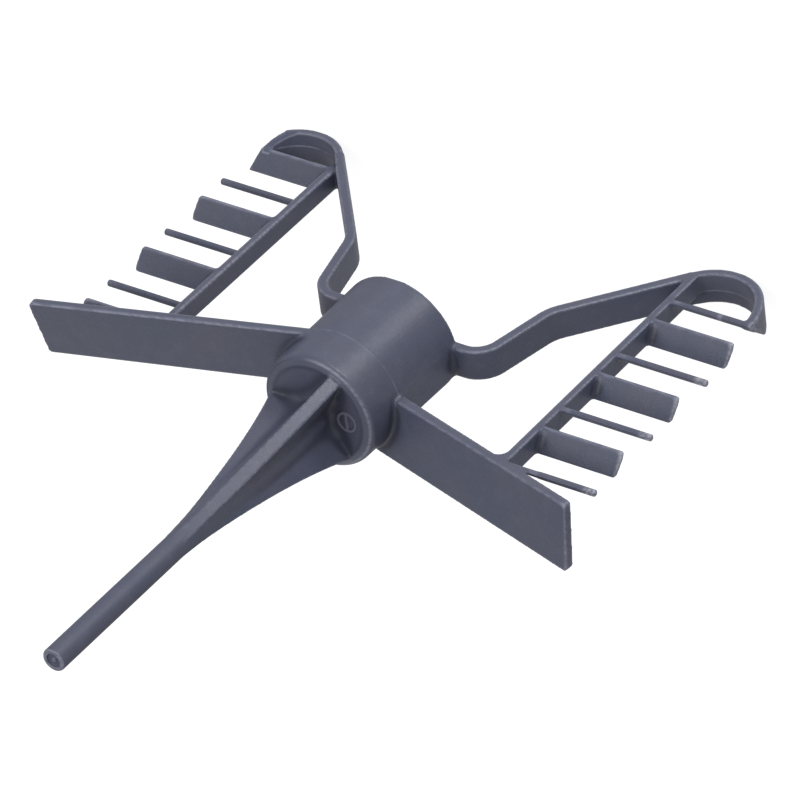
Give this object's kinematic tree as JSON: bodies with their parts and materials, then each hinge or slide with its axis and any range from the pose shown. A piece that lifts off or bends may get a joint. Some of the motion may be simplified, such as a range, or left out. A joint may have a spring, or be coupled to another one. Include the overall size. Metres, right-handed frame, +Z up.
{
  "type": "stirring paddle",
  "caption": "Moulded butterfly stirring paddle: hollow drive hub, finned stem, pitched blades, looped arms and combs of alternating thin and wide teeth.",
  "frame": {"origin": "centre of the hub's open mouth", "axes": "+Z up along the stem, +X towards the left wing, the wings' flat faces near the XZ plane"},
  "size_m": [0.1282, 0.0264, 0.1599],
  "materials": {
    "moulded_plastic": "fine satin moulded texture with lighter rubbed edges"
  },
  "bodies": {
    "root": {"arm_left": "moulded_plastic", "arm_right": "moulded_plastic", "blade_left": "moulded_plastic", "blade_right": "moulded_plastic", "hub_crown": "moulded_plastic", "hub_mark": "moulded_plastic", "hub_skirt": "moulded_plastic", "loop_left": "moulded_plastic", "loop_right": "moulded_plastic", "pin_tooth_left_1": "moulded_plastic", "pin_tooth_left_2": "moulded_plastic", "pin_tooth_left_3": "moulded_plastic", "pin_tooth_right_1": "moulded_plastic", "pin_tooth_right_2": "moulded_plastic", "pin_tooth_right_3": "moulded_plastic", "pin_tooth_right_4": "moulded_plastic", "spine_left": "moulded_plastic", "spine_right": "moulded_plastic", "stem_fin_1": "moulded_plastic", "stem_fin_2": "moulded_plastic", "stem_fin_3": "moulded_plastic", "stem_rod": "moulded_plastic", "wide_tooth_left_1": "moulded_plastic", "wide_tooth_left_2": "moulded_plastic", "wide_tooth_left_3": "moulded_plastic", "wide_tooth_left_4": "moulded_plastic", "wide_tooth_right_1": "moulded_plastic", "wide_tooth_right_2": "moulded_plastic", "wide_tooth_right_3": "moulded_plastic"}
  },
  "joints": []
}
